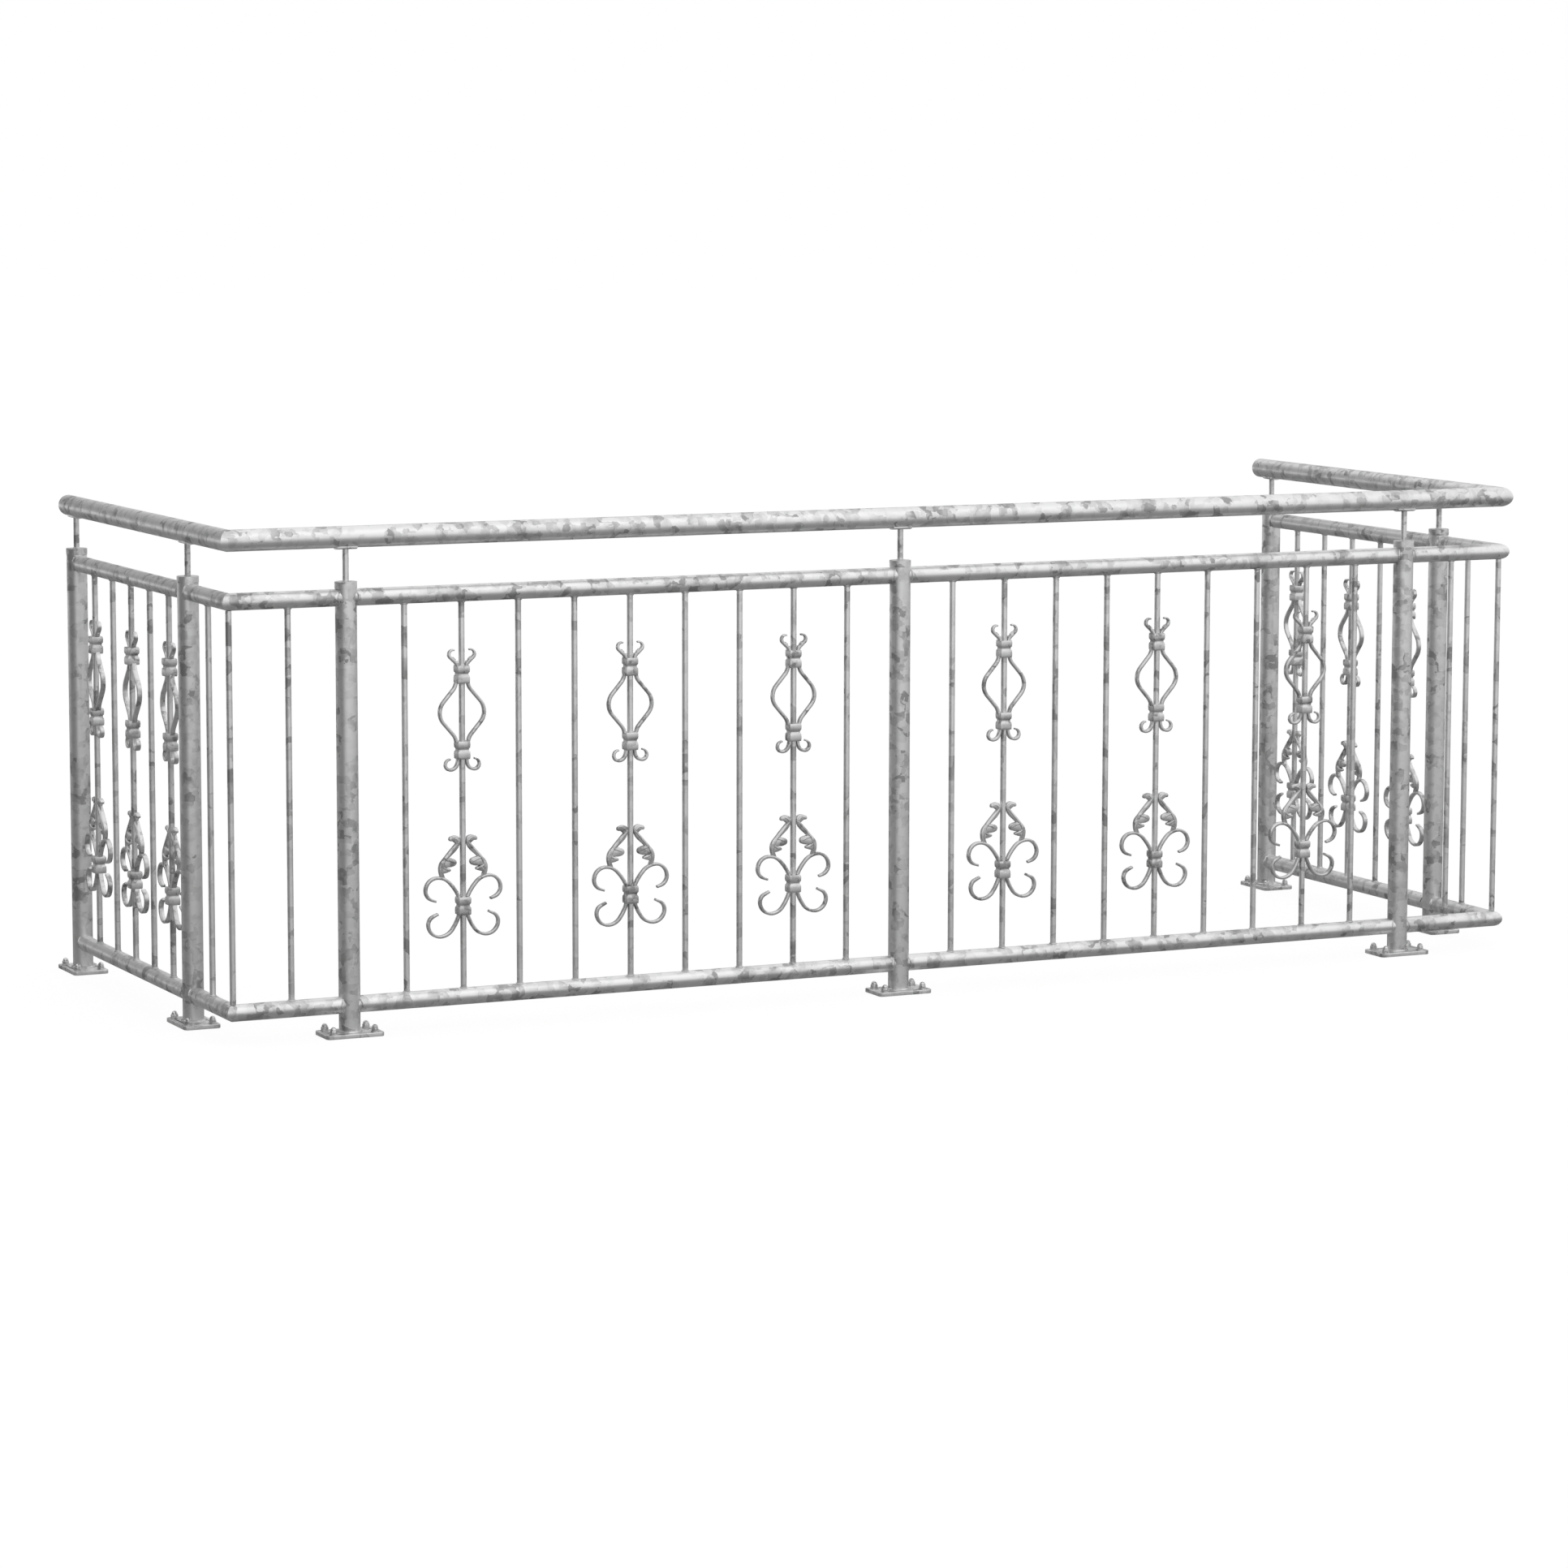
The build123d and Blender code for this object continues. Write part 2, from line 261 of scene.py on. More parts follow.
def make_piece(name, shapes, places, material, replaced=()):
    """One object of all the shapes, in millimetres, at all the places, riding with the frame."""
    points, faces = [], []
    for place in places:
        to_metres = place @ Matrix.Scale(0.001, 4)
        for shape_points, shape_faces in shapes:
            first = len(points)
            points += [to_metres @ point for point in shape_points]
            faces += [tuple(first + index for index in face) for face in shape_faces]
    mesh = bpy.data.meshes.new(name)
    mesh.from_pydata(points, [], faces)
    loose = bmesh.new()
    loose.from_mesh(mesh)
    bmesh.ops.recalc_face_normals(loose, faces=loose.faces)
    loose.to_mesh(mesh)
    loose.free()
    mesh.materials.append(material)
    mesh.shade_smooth()
    mesh.set_sharp_from_angle(angle=math.radians(38))
    piece = bpy.data.objects.new(name, mesh)
    bpy.context.scene.collection.objects.link(piece)
    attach(piece, "root")
    if replaced:
        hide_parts(*replaced)


def circle(radius, level, steps):
    """A level ring of points round the upright axis."""
    turns = [2 * math.pi * step / steps for step in range(steps)]
    return [Vector((radius * math.cos(turn), radius * math.sin(turn), level)) for turn in turns]


nut_across_flats_mm = 13
nut_hexagon_height_mm = 6.4
nut_dome_radius_mm = 5.8
nut_height_mm = 13.2
nut_foot_chamfer_mm, nut_foot_rim_mm = 0.4, 0.2
nut_crown_chamfer_mm, nut_crown_rim_mm = 0.9, 0.6
nut_neck_mm = 0.3
nut_steps = 48
sixth_turn = math.pi / 3


def cap_nut(base):
    """A domed cap nut with chamfered corners, standing at the height base."""
    half_flats = nut_across_flats_mm / 2
    past_corners = nut_across_flats_mm
    levels_and_limits = [
        (0.0, half_flats + nut_foot_rim_mm),
        (nut_foot_chamfer_mm, past_corners),
        (nut_hexagon_height_mm - nut_crown_chamfer_mm, past_corners),
        (nut_hexagon_height_mm, nut_dome_radius_mm + nut_crown_rim_mm),
        (nut_hexagon_height_mm + nut_neck_mm, nut_dome_radius_mm),
    ]
    for turn in range(0, 90, 15):
        angle = math.radians(turn)
        level = nut_height_mm - nut_dome_radius_mm + nut_dome_radius_mm * math.sin(angle)
        levels_and_limits.append((level, nut_dome_radius_mm * math.cos(angle)))
    rings = []
    for level, limit in levels_and_limits:
        ring = []
        for step in range(nut_steps):
            angle = 2 * math.pi * step / nut_steps
            from_flat = (angle + sixth_turn / 2) % sixth_turn - sixth_turn / 2
            radius = min(half_flats / math.cos(from_flat), limit)
            ring.append(Vector((radius * math.cos(angle), radius * math.sin(angle), base + level)))
        rings.append(ring)
    return skin(rings)


# Plated zinc is thin and even: fine crystals, little contrast and a sharper gloss.
nut_zinc = zinc_coat(
    "zinc_plated_cap_nut", bright="DCDCDC", dull="B4B4B4",
    patch_mm=9, crystal_mm=4, ripple_mm=7, ripple_depth_mm=0.05, roughness_range=(0.3, 0.4),
)
bolt_along_mm = 43
bolt_across_mm = 25
first_nut_turn = 17
next_nut_turn = 43

nut_places = []
for name, post_place in post_places.items():
    plate_turn = Matrix.Rotation(math.radians(0 if name.startswith("post_front") else 90), 4, "Z")
    for along in (-bolt_along_mm, bolt_along_mm):
        for across in (-bolt_across_mm, bolt_across_mm):
            offset = plate_turn @ Vector((along, across, 0)) / 1000
            nut_turn = math.radians(first_nut_turn + next_nut_turn * len(nut_places))
            nut_places.append(
                Matrix.Translation(post_place + offset) @ Matrix.Rotation(nut_turn, 4, "Z")
            )

washer_radius_mm = 8.5
washer_thickness_mm = 1.6
washer_chamfer_mm = 0.3
washer_top_mm = plate_top_mm + washer_thickness_mm
washer_profile = (
    (washer_radius_mm - washer_chamfer_mm, plate_top_mm),
    (washer_radius_mm, plate_top_mm + washer_chamfer_mm),
    (washer_radius_mm, washer_top_mm - washer_chamfer_mm),
    (washer_radius_mm - washer_chamfer_mm, washer_top_mm),
)
washer = skin([circle(radius, level, steps=32) for radius, level in washer_profile])
make_piece("washers", [washer], nut_places, nut_zinc)
make_piece("cap_nuts", [cap_nut(washer_top_mm)], nut_places, nut_zinc)


# Rails: tube a size thinner than the posts, coped to them and welded all round. The zinc
# has run over the weld beads, which stand as low soft rings.

bead_sides = 8
bead_weave = 0.1


def bead(path, radius):
    """A weld bead along a closed path of points: a ring with a small ripple for each weave."""
    turns = [2 * math.pi * step / bead_sides for step in range(bead_sides)]
    rings = []
    for index, point in enumerate(path):
        ahead = (path[(index + 1) % len(path)] - path[index - 1]).normalized()
        side = ahead.orthogonal().normalized()
        if rings:
            nearest = rings[-1][0] - point
            side = (nearest - nearest.dot(ahead) * ahead).normalized()
        up = ahead.cross(side)
        swell = radius * (1 + bead_weave * math.cos(math.pi * index))
        rings.append([point + swell * (math.cos(t) * side + math.sin(t) * up) for t in turns])
    return skin(rings, closed=True)


def saddle(radius, other_radius, steps, lift=0.0):
    """Where an upright round bar of this radius meets a level tube along X: a closed path."""
    path = []
    for step in range(steps):
        turn = 2 * math.pi * step / steps
        across = radius * math.sin(turn)
        height = math.sqrt(other_radius ** 2 - min(abs(across), other_radius) ** 2)
        path.append(Vector((radius * math.cos(turn), across, height + lift)))
    return path


finish_nodes(tube_zinc, "lower_rail", "upper_rail")
rail_radius_mm = half_size_mm("lower_rail_left", axis=2)
rail_levels = [middle("lower_rail_left").z, middle("upper_rail_left").z]

# Zinc over a weave of weld metal: small crystals, and ripples a few millimetres long.
weld_zinc = zinc_coat(
    "hot_dip_zinc_on_weld", bright="DCDCDC", dull="A6A6A6",
    patch_mm=20, crystal_mm=6, ripple_mm=4, ripple_depth_mm=0.1,
)

# A bead for each end of rail that meets a post: a probe 30 mm out from the post's axis, on each
# of its four sides, finds the rails that it lies in.
cope_path = [
    Vector((point.z, point.x, point.y)) for point in saddle(rail_radius_mm, post_radius_mm, steps=48)
]
cope_bead = bead(cope_path, radius=1.8)
rails = [name for name in nodes if "_rail_" in name]
probe_reach = 0.03
slack = 0.001
cope_places = []
for post_place in post_places.values():
    for heading in (0, 90, 180, 270):
        outward = Matrix.Rotation(math.radians(heading), 4, "Z")
        probe = post_place + outward @ Vector((probe_reach, 0, 0))
        for rail in rails:
            low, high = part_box(rail)
            meets = all(low[axis] - slack <= probe[axis] <= high[axis] + slack for axis in (0, 1))
            cope_places += [
                Matrix.Translation((*post_place.xy, level)) @ outward
                for level in rail_levels if meets and low[2] < level < high[2]
            ]
make_piece("rail_welds", [cope_bead], cope_places, weld_zinc)

post_axes = [Matrix.Translation(post_place) for post_place in post_places.values()]
foot_bead_offset_mm = 0.6
foot_path = circle(post_radius_mm + foot_bead_offset_mm, plate_top_mm + foot_bead_offset_mm, steps=64)
make_piece("foot_welds", [bead(foot_path, radius=3.0)], post_axes, weld_zinc)


# Post caps, spindles and saddles: a turned disc on each post, a 12 mm round bar on it, and a
# short strap bent round the handrail's underside. All are welded and galvanised with the rest,
# but cool faster, so their crystals are smaller than the tube's.
fitting_zinc = zinc_coat(
    "hot_dip_zinc_on_fittings", bright="E6E6E6", dull="9C9C9C",
    patch_mm=26, crystal_mm=10, ripple_mm=12, ripple_depth_mm=0.06,
)
finish_nodes(fitting_zinc, "post_caps", "handrail_brackets")
soften_edges(nodes["post_caps"], width_mm=0.8)
soften_edges(nodes["handrail_brackets"], width_mm=0.5)
bar_radius_mm = 6.0
bar_bead_offset_mm = 0.3
cap_top_mm = 1000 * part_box("post_caps")[1][2]
spindle_path = circle(bar_radius_mm + bar_bead_offset_mm, cap_top_mm + bar_bead_offset_mm, steps=24)
make_piece("spindle_welds", [bead(spindle_path, radius=1.4)], post_axes, weld_zinc)


# Handrail: three lengths of the post's tube, mitred at the corners, ground flush and closed at
# the rear ends with domed caps.
finish_nodes(tube_zinc, "handrail_front", "handrail_left", "handrail_right")
handrail_radius_mm = half_size_mm("handrail_front", axis=2)
end_low, end_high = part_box("handrail_end_caps")
dome_edge_mm = 5.0
dome_start_mm = 1000 * (end_high[1] - end_low[1]) - dome_edge_mm
dome_steps = 48
dome_rings = [circle(handrail_radius_mm, 0, dome_steps)]
for turn in range(0, 91, 15):
    rise = dome_edge_mm * math.sin(math.radians(turn))
    inset = dome_edge_mm * (1 - math.cos(math.radians(turn)))
    dome_rings.append(circle(handrail_radius_mm - inset, dome_start_mm + rise, dome_steps))
dome_places = [
    Matrix.Translation((middle(side).x, end_low[1], (end_low[2] + end_high[2]) / 2))
    @ Matrix.Rotation(math.radians(-90), 4, "X")
    for side in ("handrail_left", "handrail_right")
]
make_piece("handrail_domes", [skin(dome_rings)], dome_places, tube_zinc, ["handrail_end_caps"])


# Balusters: round bar, 12 mm thick, cut square and welded between the rails. The zinc is even
# on drawn bar, so its patches are long and its ripples shallow.
bar_zinc = zinc_coat(
    "hot_dip_zinc_on_bar", bright="F0F0F0", dull="A2A2A2",
    patch_mm=70, crystal_mm=18, ripple_mm=25, ripple_depth_mm=0.05,
)
finish_nodes(bar_zinc, "balusters")
bar_counts = {"front_left": 9, "front_right": 9, "left": 5, "right": 5}
quarter_turn = Matrix.Rotation(math.radians(90), 4, "Z")


def spread(node, count, edge_mm):
    """Places of like pieces, evenly along a node's box, with edge_mm from its ends."""
    low, high = (Vector(corner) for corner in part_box(node))
    along = Vector((1, 0, 0)) if high.x - low.x > high.y - low.y else Vector((0, 1, 0))
    centre = (low + high) / 2
    reach = (high - low).dot(along) / 2 - edge_mm / 1000
    turn = Matrix.Identity(4) if along.x else quarter_turn
    steps = [2 * index / (count - 1) - 1 for index in range(count)]
    return [Matrix.Translation((*(centre + along * reach * step).xy, 0)) @ turn for step in steps]


bar_places = []
for bay, count in bar_counts.items():
    bar_places += spread(f"balusters_{bay}", count, bar_radius_mm)
for side in ("left", "right"):
    low, high = (Vector(corner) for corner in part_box(f"balusters_corner_{side}"))
    inset = bar_radius_mm / 1000
    inner_x, outer_x = high.x - inset, low.x + inset
    if side == "right":
        inner_x, outer_x = outer_x, inner_x
    bar_places.append(Matrix.Translation((inner_x, low.y + inset, 0)))
    bar_places.append(Matrix.Translation((outer_x, high.y - inset, 0)) @ quarter_turn)

bar_path = saddle(
    bar_radius_mm + bar_bead_offset_mm, rail_radius_mm, steps=24, lift=bar_bead_offset_mm
)
bar_foot = Matrix.Translation((0, 0, rail_levels[0]))
bar_head = Matrix.Translation((0, 0, rail_levels[1])) @ Matrix.Rotation(math.pi, 4, "X")
bar_ends = [place @ end for place in bar_places for end in (bar_foot, bar_head)]
make_piece("baluster_welds", [bead(bar_path, radius=1.5)], bar_ends, weld_zinc)


# Collars: cast steel, gripping the bar and the strips: two swelling bands and a waist between.
# The casting's rough skin leaves the zinc darker and duller than on the bar.
collar_zinc = zinc_coat(
    "hot_dip_zinc_on_casting", bright="DEDEDE", dull="9A9A9A",
    patch_mm=20, crystal_mm=9, ripple_mm=8, ripple_depth_mm=0.06, roughness_range=(0.42, 0.52),
)
collar_width_mm = 26
collar_depth_mm = 25
collar_height_mm = 35.5
collar_corner_mm = 1.3
collar_corner_steps = 7
collar_levels_and_insets = (
    (0.0, 1.2), (0.4, 0.7), (1.0, 0.4), (4.0, 0.1), (7.5, 0.0), (11.0, 0.1), (14.2, 0.4),
    (15.0, 0.7), (15.6, 1.3), (16.3, 2.0), (18.7, 2.4), (21.1, 2.0), (21.8, 1.3), (22.4, 0.7),
    (23.2, 0.4), (26.5, 0.1), (29.0, 0.0), (31.5, 0.1), (34.5, 0.4), (35.1, 0.7), (35.5, 1.2),
)


def rounded_rectangle(half_width, half_depth, corner_radius, steps):
    """Pairs round a rectangle with rounded corners, steps to a corner."""
    pairs = []
    for corner, (side_x, side_y) in enumerate(((1, 1), (-1, 1), (-1, -1), (1, -1))):
        for step in range(steps):
            turn = math.radians(90 * (corner + step / (steps - 1)))
            x = side_x * (half_width - corner_radius) + corner_radius * math.cos(turn)
            y = side_y * (half_depth - corner_radius) + corner_radius * math.sin(turn)
            pairs.append((x, y))
    return pairs


def collar_shape(base):
    """A collar standing at the height base, with its bore for the bar."""
    rings = []
    for level, inset in collar_levels_and_insets:
        outline = rounded_rectangle(
            collar_width_mm / 2 - inset, collar_depth_mm / 2 - inset, collar_corner_mm, collar_corner_steps
        )
        rings.append([Vector((x, y, base + level)) for x, y in outline])
    angles = [math.atan2(point.y, point.x) for point in rings[0]]
    bore = [(bar_radius_mm * math.cos(angle), bar_radius_mm * math.sin(angle)) for angle in angles]
    for level in (collar_height_mm, 0):
        rings.append([Vector((x, y, base + level)) for x, y in bore])
    return skin(rings, closed=True)


scroll_collar_mm = 163.0
lyre_lower_collar_mm = 472.5
lyre_upper_collar_mm = 622.0
ornaments_in_bay = 3
lower_axis = Matrix.Translation((0, 0, rail_levels[0]))
ornament_places = {
    bay: [place @ lower_axis for place in spread(f"collars_{bay}", ornaments_in_bay, collar_width_mm / 2)]
    for bay in bar_counts
}
collar_bases = (scroll_collar_mm, lyre_lower_collar_mm, lyre_upper_collar_mm)
collar_shapes = [collar_shape(base) for base in collar_bases]
for bay, places in ornament_places.items():
    make_piece(
        f"cast_collars_{bay}", collar_shapes, places, collar_zinc, [f"collars_{bay}"]
    )


# Lyres and scrolls: flat bar, 6 by 10 mm with rounded edges, bent cold over a former, its free
# ends hammered a little thinner. The leaves and barbs are cut from plate and welded on.
# The coat is thinner on them, and looks darker and glossier than on the tubes.
strip_zinc = zinc_coat(
    "hot_dip_zinc_on_flat_bar", bright="DEDEDE", dull="989898",
    patch_mm=24, crystal_mm=9, ripple_mm=9, ripple_depth_mm=0.05, roughness_range=(0.34, 0.44),
)
strip_half_thickness_mm = 3.0
strip_half_breadth_mm = 5.0
strip_roundness = 0.47
strip_corner_steps = 4
bend_step = 7

# A hammered end is given by its length in millimetres and by how thin it ends.
scroll_tip = (14.0, 0.8)
curl_tip = (26.0, 0.55)


def strip_line(start, heading, arcs, tail=0.0):
    """Points (x, z, heading) along a strip that starts at a point and follows (radius, angle) arcs."""
    x, z = start
    line = [(x, z, heading)]
    for radius, angle in arcs:
        steps = max(1, round(abs(angle) / bend_step))
        turn = angle / steps
        chord = 2 * radius * math.sin(math.radians(abs(turn) / 2))
        for _ in range(steps):
            slope = math.radians(heading + turn / 2)
            x += chord * math.cos(slope)
            z += chord * math.sin(slope)
            heading += turn
            line.append((x, z, heading))
    if tail:
        slope = math.radians(heading)
        for length in (0.5 * tail, tail):
            line.append((x + length * math.cos(slope), z + length * math.sin(slope), heading))
    return line


def mirrored(shape):
    """The same shape on the other side of the bar."""
    points, faces = shape
    return [Vector((-point.x, point.y, point.z)) for point in points], faces


def strip_shape(
    line, tip=None, half_thickness=strip_half_thickness_mm, half_breadth=strip_half_breadth_mm
):
    """The flat bar swept along its line; its hammered end narrows half as much as it thins."""
    section = rounded_rectangle(
        half_thickness, half_breadth, half_thickness * strip_roundness, strip_corner_steps
    )
    lengths = [0.0]
    for (x, z, _), (next_x, next_z, _) in zip(line, line[1:]):
        lengths.append(lengths[-1] + math.hypot(next_x - x, next_z - z))
    rings = []
    for (x, z, heading), length in zip(line, lengths):
        left = math.radians(heading + 90)
        thinning = 1.0
        if tip:
            tip_length, tip_thinness = tip
            thinning = tip_thinness + (1 - tip_thinness) * min(1.0, (lengths[-1] - length) / tip_length)
        narrowing = (1 + thinning) / 2
        aside, upward = thinning * math.cos(left), thinning * math.sin(left)
        rings.append([Vector((x + u * aside, v * narrowing, z + u * upward)) for u, v in section])
    return skin(rings)


def plate_shape(outline, sharp, half_thickness, rounding):
    """A plate cut to a smooth closed outline, with rounded edges; sharp lists its hard corners."""
    curve = bpy.data.curves.new("outline", "CURVE")
    curve.dimensions = "2D"
    curve.fill_mode = "BOTH"
    curve.resolution_u = 5
    curve.extrude = half_thickness - rounding
    curve.bevel_depth = rounding
    curve.bevel_resolution = 2
    curve.offset = -rounding
    spline = curve.splines.new("BEZIER")
    spline.bezier_points.add(len(outline) - 1)
    spline.use_cyclic_u = True
    for index, (point, (x, z)) in enumerate(zip(spline.bezier_points, outline)):
        point.co = (x, z, 0)
        kind = "VECTOR" if index in sharp else "AUTO"
        point.handle_left_type = kind
        point.handle_right_type = kind
    holder = bpy.data.objects.new("outline", curve)
    bpy.context.scene.collection.objects.link(holder)
    bpy.context.view_layer.update()
    evaluated = holder.evaluated_get(bpy.context.evaluated_depsgraph_get())
    mesh = bpy.data.meshes.new_from_object(evaluated)
    joined = bmesh.new()
    joined.from_mesh(mesh)
    bmesh.ops.remove_doubles(joined, verts=joined.verts, dist=0.01)
    points = [Vector((vertex.co.x, vertex.co.z, vertex.co.y)) for vertex in joined.verts]
    faces = [tuple(vertex.index for vertex in face.verts) for face in joined.faces]
    joined.free()
    bpy.data.objects.remove(holder)
    bpy.data.curves.remove(curve)
    bpy.data.meshes.remove(mesh)
    return points, faces


def raised(shape, height):
    """The shape, moved up."""
    points, faces = shape
    return [point + Vector((0, 0, height)) for point in points], faces


# A lyre: two bows that belly out between its collars, and a curl above and below on each side.
# A strip's middle lies 9 mm from the bar's axis in a collar, which grips its last 4 mm.
strip_start_mm = 9.0
grip_mm = 4.0
lyre_middle_mm = (lyre_lower_collar_mm + lyre_upper_collar_mm + collar_height_mm) / 2
lyre_top_mm = lyre_upper_collar_mm + collar_height_mm
belly_half_width_mm = 46.7
belly_arcs = ((32.3, 41),)
flank_mm = 30
neck_arcs = ((27.6, -28),)
belly = strip_line((belly_half_width_mm, lyre_middle_mm), 90, belly_arcs)
belly_x, belly_z, flank_heading = belly[-1]
flank_slope = math.radians(flank_heading)
flank_end = (belly_x + flank_mm * math.cos(flank_slope), belly_z + flank_mm * math.sin(flank_slope))
bow_upper = belly + strip_line(flank_end, flank_heading, neck_arcs, tail=grip_mm)
bow_lower = [(x, 2 * lyre_middle_mm - z, 180 - heading) for x, z, heading in reversed(bow_upper[1:])]

# The top curl's first arc is under 0.1 mm long and keeps the strip's end square in the collar.
top_curl_arcs = ((1e4, 4e-4), (14.0, -50), (200.0, 4), (8.5, 155))
bottom_curl_arcs = ((29.5, 25), (14.9, 65), (10.5, 180))
top_curl = strip_line((strip_start_mm, lyre_top_mm - grip_mm), 90, top_curl_arcs)
bottom_curl = strip_line((strip_start_mm, lyre_lower_collar_mm), -90, bottom_curl_arcs)
barb_outlines = (
    ((12.5, 12.0), (20.8, 7.4), (18.0, 17.0)),
    ((8.0, 8.5), (16.8, 2.6), (9.0, 2.0)),
)
barbs = [
    plate_shape(outline, sharp=(0, 1, 2), half_thickness=2.6, rounding=0.6) for outline in barb_outlines
]
lyre_half = [strip_shape(bow_lower + bow_upper)]
lyre_half += [strip_shape(curl, curl_tip) for curl in (top_curl, bottom_curl)]
lyre_half += [raised(barb, lyre_top_mm) for barb in barbs]
lyre_shapes = lyre_half + [mirrored(shape) for shape in lyre_half]
for bay, places in ornament_places.items():
    make_piece(f"lyre_strips_{bay}", lyre_shapes, places, strip_zinc, [f"lyres_{bay}"])

# A scroll: two strips bent to a C on each side of its collar, and over them a leaf with raised
# veins. The leaf's and the veins' places are measured from the bar's axis and the collar's top.
scroll_top_mm = scroll_collar_mm + collar_height_mm
upper_c_arcs = ((100.0, -20), (37.0, -46), (24.4, -90), (20.5, -72))
lower_c_arcs = ((95.0, 20), (31.1, 53), (25.3, 90), (17.0, 65))
upper_c = strip_line((strip_start_mm, scroll_top_mm), 66, upper_c_arcs, tail=8.0)
lower_c = strip_line((strip_start_mm, scroll_collar_mm), -73, lower_c_arcs, tail=11.8)
leaf_outline = (
    (7.6, 117.5), (14.0, 122.3), (23.0, 121.6), (29.0, 118.0), (28.6, 112.8), (22.5, 111.6),
    (15.6, 106.6), (39.5, 80.0), (50.0, 66.0), (51.0, 52.0), (48.0, 40.5), (38.0, 37.0),
    (42.0, 48.5), (33.0, 50.5), (26.5, 54.8), (32.5, 59.0), (36.5, 60.3), (22.0, 61.5),
    (15.2, 66.0), (15.2, 72.5), (21.5, 77.0), (30.0, 79.0), (7.6, 104.5),
)
leaf_sharp = (6, 10, 11, 12, 16, 21)
leaf_half_breadth_mm = 4.6
leaf = plate_shape(leaf_outline, leaf_sharp, leaf_half_breadth_mm, rounding=1.4)
vein_half_thickness_mm = 1.7
vein_rise_mm = 1.1
vein_tip = (8.0, 0.6)
veins = (
    (
        (9.5, 109.5), (15.0, 102.5), (22.0, 94.5), (29.0, 86.5), (35.5, 79.0), (41.0, 71.0),
        (44.5, 62.0), (45.5, 52.0), (43.5, 42.0),
    ),
    ((10.5, 111.5), (14.5, 116.0), (19.5, 117.8), (25.5, 116.0)),
    ((38.0, 76.0), (31.0, 74.5), (24.5, 71.5), (18.5, 69.0)),
    ((44.0, 62.0), (38.5, 57.5), (34.0, 55.5), (30.0, 55.0)),
)


def traced_line(places):
    """Points (x, z, heading) through the given places."""
    line = []
    for index, (x, z) in enumerate(places):
        before = places[max(index - 1, 0)]
        after = places[min(index + 1, len(places) - 1)]
        line.append((x, z, math.degrees(math.atan2(after[1] - before[1], after[0] - before[0]))))
    return line


vein_shapes = [
    strip_shape(traced_line(vein), vein_tip, vein_half_thickness_mm, leaf_half_breadth_mm + vein_rise_mm)
    for vein in veins
]
scroll_half = [strip_shape(upper_c, scroll_tip), strip_shape(lower_c, scroll_tip)]
scroll_half += [raised(shape, scroll_top_mm) for shape in [leaf] + vein_shapes]
scroll_shapes = scroll_half + [mirrored(shape) for shape in scroll_half]
for bay, places in ornament_places.items():
    make_piece(
        f"scroll_strips_{bay}", scroll_shapes, places, strip_zinc, [f"scrolls_{bay}"]
    )


# Studio: a white floor that runs out to a white background, a large soft lamp above and a weak
# one in front. Grey cards, which only reflections see, give the zinc its darker undersides and
# left sides.

def aimed(place, aim, front):
    """A matrix at the place that turns its front axis towards the aim."""
    direction = Vector(aim) - Vector(place)
    return Matrix.Translation(place) @ direction.to_track_quat(front, "Y").to_matrix().to_4x4()


def studio_plane(name, size, place, aim, material):
    """A staged plane, size across and up, that faces the aim."""
    mesh = bpy.data.meshes.new(name)
    across, up = size[0] / 2, size[1] / 2
    corners = [(-across, -up, 0), (across, -up, 0), (across, up, 0), (-across, up, 0)]
    mesh.from_pydata(corners, [], [(0, 1, 2, 3)])
    mesh.materials.append(material)
    plane = bpy.data.objects.new(name, mesh)
    plane.matrix_world = aimed(place, aim, "Z")
    bpy.context.scene.collection.objects.link(plane)
    return plane


def emptied_tree(owner):
    """The node tree of a new material or world, with nothing in it."""
    owner.use_nodes = True
    owner.node_tree.nodes.clear()
    return owner.node_tree


def seen_directly(tree):
    """1 where the camera, a reflection or a see-through looks at the surface, otherwise 0."""
    rays = add_node(tree, "ShaderNodeLightPath")
    mirrored_too = add_node(
        tree, "ShaderNodeMath",
        {"operation": "MAXIMUM"},
        {0: rays.outputs["Is Camera Ray"], 1: rays.outputs["Is Glossy Ray"]},
    )
    return add_node(
        tree, "ShaderNodeMath",
        {"operation": "MAXIMUM"},
        {0: mirrored_too.outputs["Value"], 1: rays.outputs["Is Transmission Ray"]},
    ).outputs["Value"]


# Matt white paper, lit up towards plain white where it is seen, so that it meets the
# background and still keeps a faint shadow.
floor_paper = bpy.data.materials.new("white_paper_floor")
tree = emptied_tree(floor_paper)
paper = add_node(tree, "ShaderNodeBsdfDiffuse", {"Color": linear("F0F0F0")})
glow = add_node(tree, "ShaderNodeEmission", {"Strength": 1.11})
glow_share = add_node(
    tree, "ShaderNodeMath",
    {"operation": "MULTIPLY", 1: 0.81},
    {0: seen_directly(tree)},
)
floor_mix = add_node(
    tree, "ShaderNodeMixShader",
    links={0: glow_share.outputs["Value"], 1: paper.outputs["BSDF"], 2: glow.outputs["Emission"]},
)
add_node(tree, "ShaderNodeOutputMaterial", links={"Surface": floor_mix.outputs["Shader"]})
floor_drop = 0.0004
studio_plane("floor", (80, 80), (0, 0, -floor_drop), (0, 0, 1), floor_paper)

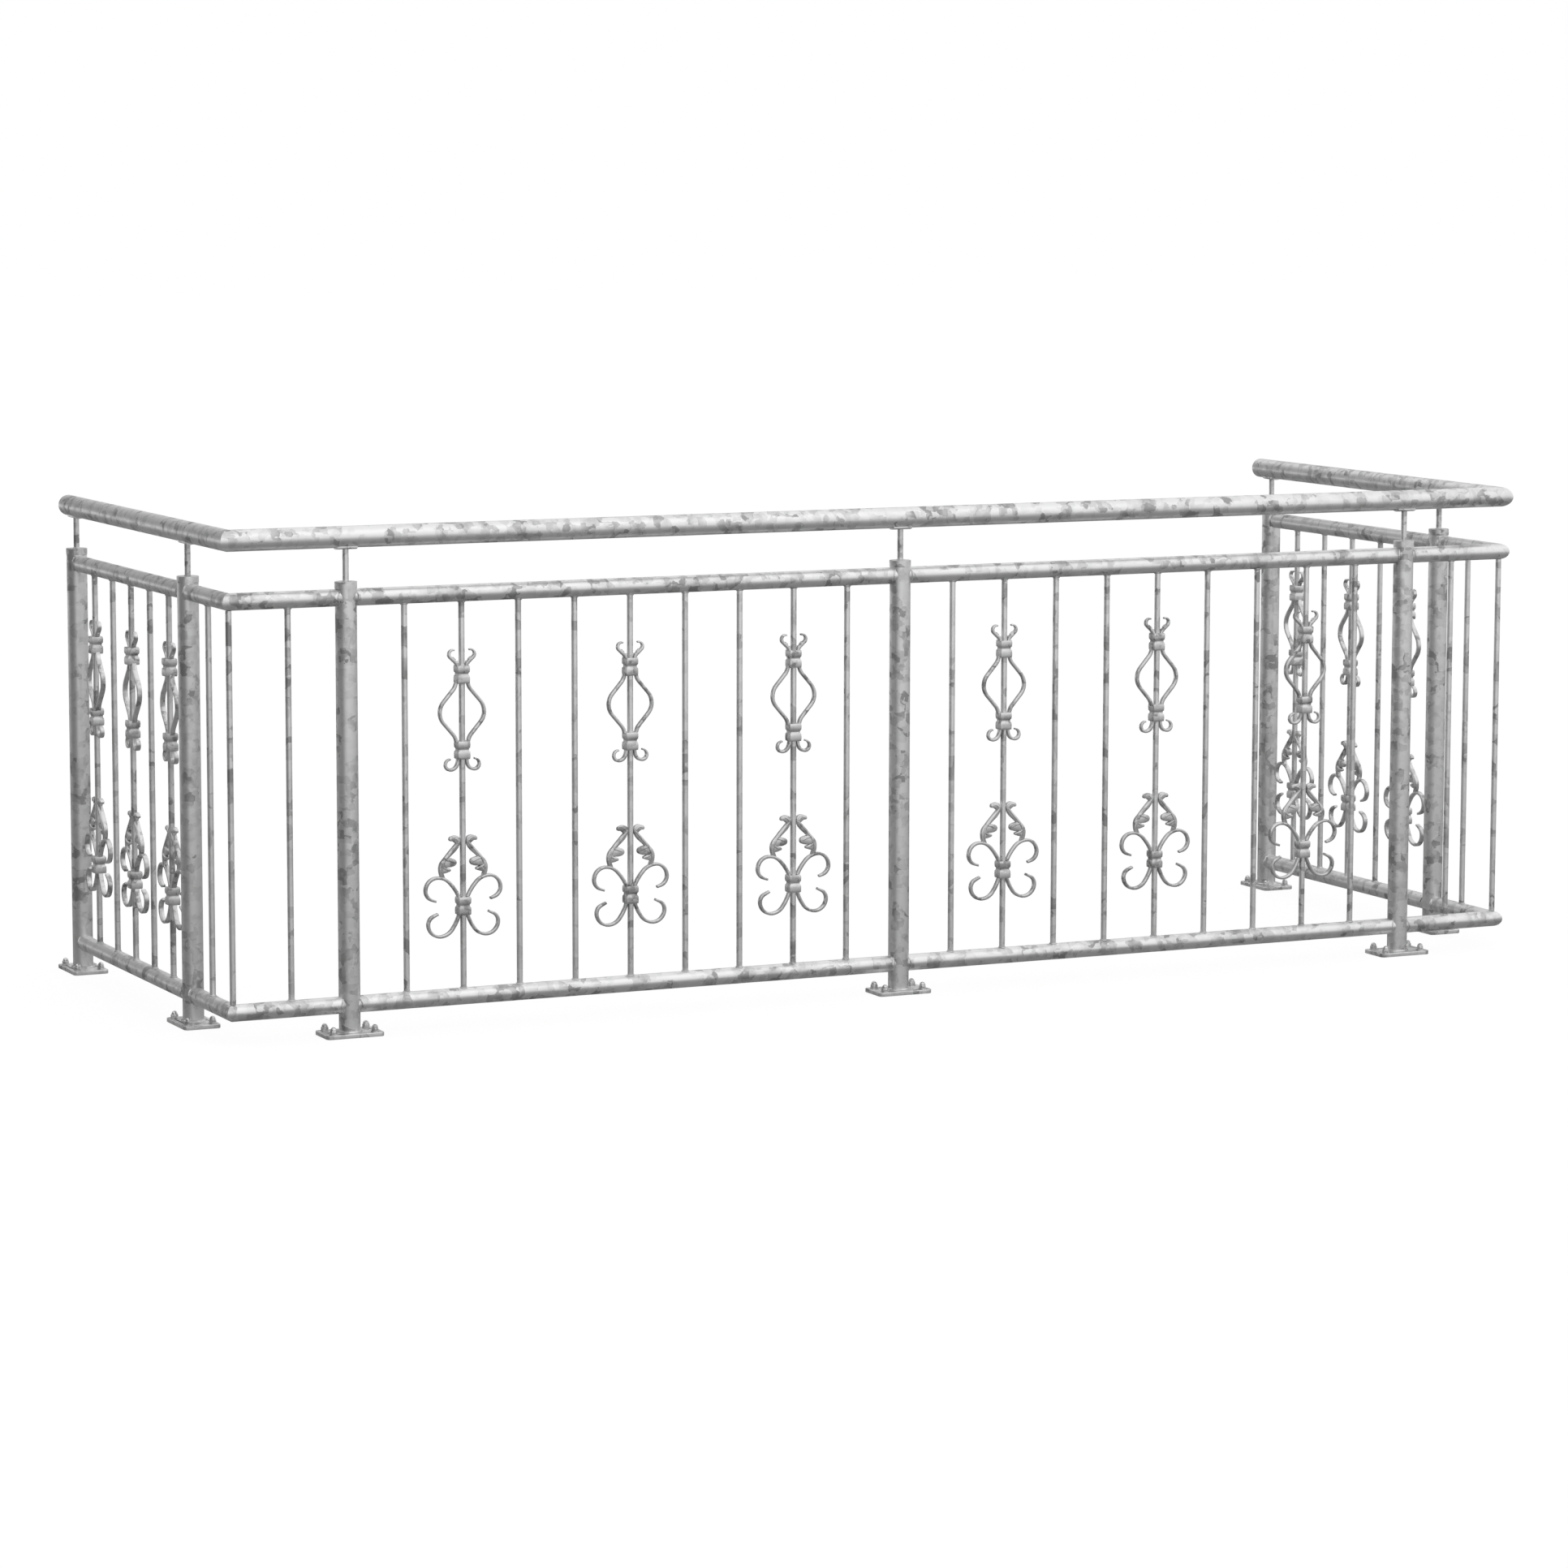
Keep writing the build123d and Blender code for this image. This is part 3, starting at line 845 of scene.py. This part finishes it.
# Each card glows in its own grey, and only reflections see it.
for name, shade, size, place, aim in (
    ("card_on_floor", 0.24, (24, 16), (0, -1, -floor_drop / 2), (0, -1, 1)),
    ("card_in_front", 0.42, (12.5, 6.5), (2.75, -5.75, -floor_drop / 4), (2.75, -5.75, 1)),
    ("card_on_left", 0.12, (12, 5), (-8, -0.5, 2.0), (0, 0, 1.0)),
    ("card_behind_left", 0.28, (12, 6.5), (-6, 10, 4.1), (-6, 0, 1.0)),
    ("card_behind_right", 0.52, (12, 6.0), (6, 10, 3.8), (6, 0, 1.0)),
):
    card_grey = bpy.data.materials.new(name)
    tree = emptied_tree(card_grey)
    shine = add_node(tree, "ShaderNodeEmission", {"Strength": shade})
    add_node(tree, "ShaderNodeOutputMaterial", links={"Surface": shine.outputs["Emission"]})
    card = studio_plane(name, size, place, aim, card_grey)
    card.visible_camera = False
    card.visible_diffuse = False
    card.visible_transmission = False
    card.visible_shadow = False

# The surround is plain white where it is seen, and lights matt surfaces less.
world = bpy.data.worlds.new("white_studio")
bpy.context.scene.world = world
tree = emptied_tree(world)
strength = add_node(
    tree, "ShaderNodeMapRange",
    {"To Min": 0.65, "To Max": 1.0},
    {"Value": seen_directly(tree)},
)
background = add_node(
    tree, "ShaderNodeBackground",
    {"Color": (1, 1, 1, 1)},
    {"Strength": strength.outputs["Result"]},
)
add_node(tree, "ShaderNodeOutputWorld", links={"Surface": background.outputs["Background"]})

# In the zinc the lamps add to the white surround, so they are weak.
for name, size, power, place in (
    ("soft_lamp_above", 5.0, 22, (1.5, -4.5, 6.0)),
    ("soft_lamp_front", 3.0, 8, (-1.5, -9.0, 2.5)),
):
    lamp = bpy.data.lights.new(name, "AREA")
    lamp.shape = "SQUARE"
    lamp.size = size
    lamp.energy = power
    lamp_object = bpy.data.objects.new(name, lamp)
    lamp_object.matrix_world = aimed(place, (0, 0, 0.5), "-Z")
    bpy.context.scene.collection.objects.link(lamp_object)


# Camera: the photograph's view, worked out from where posts, bars and rails stand in it. It is
# a long lens at eye height, eleven metres from the railing.
camera_place = Vector((-4.6684, -9.8582, 1.7833))
camera_yaw = math.radians(25.197)
camera_pitch = math.radians(-7.359)
camera_roll = math.radians(0.101)
camera = bpy.data.cameras.new("camera")
camera.sensor_width = 36
camera.lens = 118.32
camera.clip_end = 200
camera_object = bpy.data.objects.new("camera", camera)
ahead = Vector((
    math.sin(camera_yaw) * math.cos(camera_pitch),
    math.cos(camera_yaw) * math.cos(camera_pitch),
    math.sin(camera_pitch),
))
level_right = Vector((math.cos(camera_yaw), -math.sin(camera_yaw), 0))
right = Matrix.Rotation(-camera_roll, 3, ahead) @ level_right
camera_object.matrix_world = (
    Matrix.Translation(camera_place) @ Matrix((right, right.cross(ahead), -ahead)).transposed().to_4x4()
)
bpy.context.scene.collection.objects.link(camera_object)
bpy.context.scene.camera = camera_object
bpy.context.scene.view_settings.view_transform = "Standard"
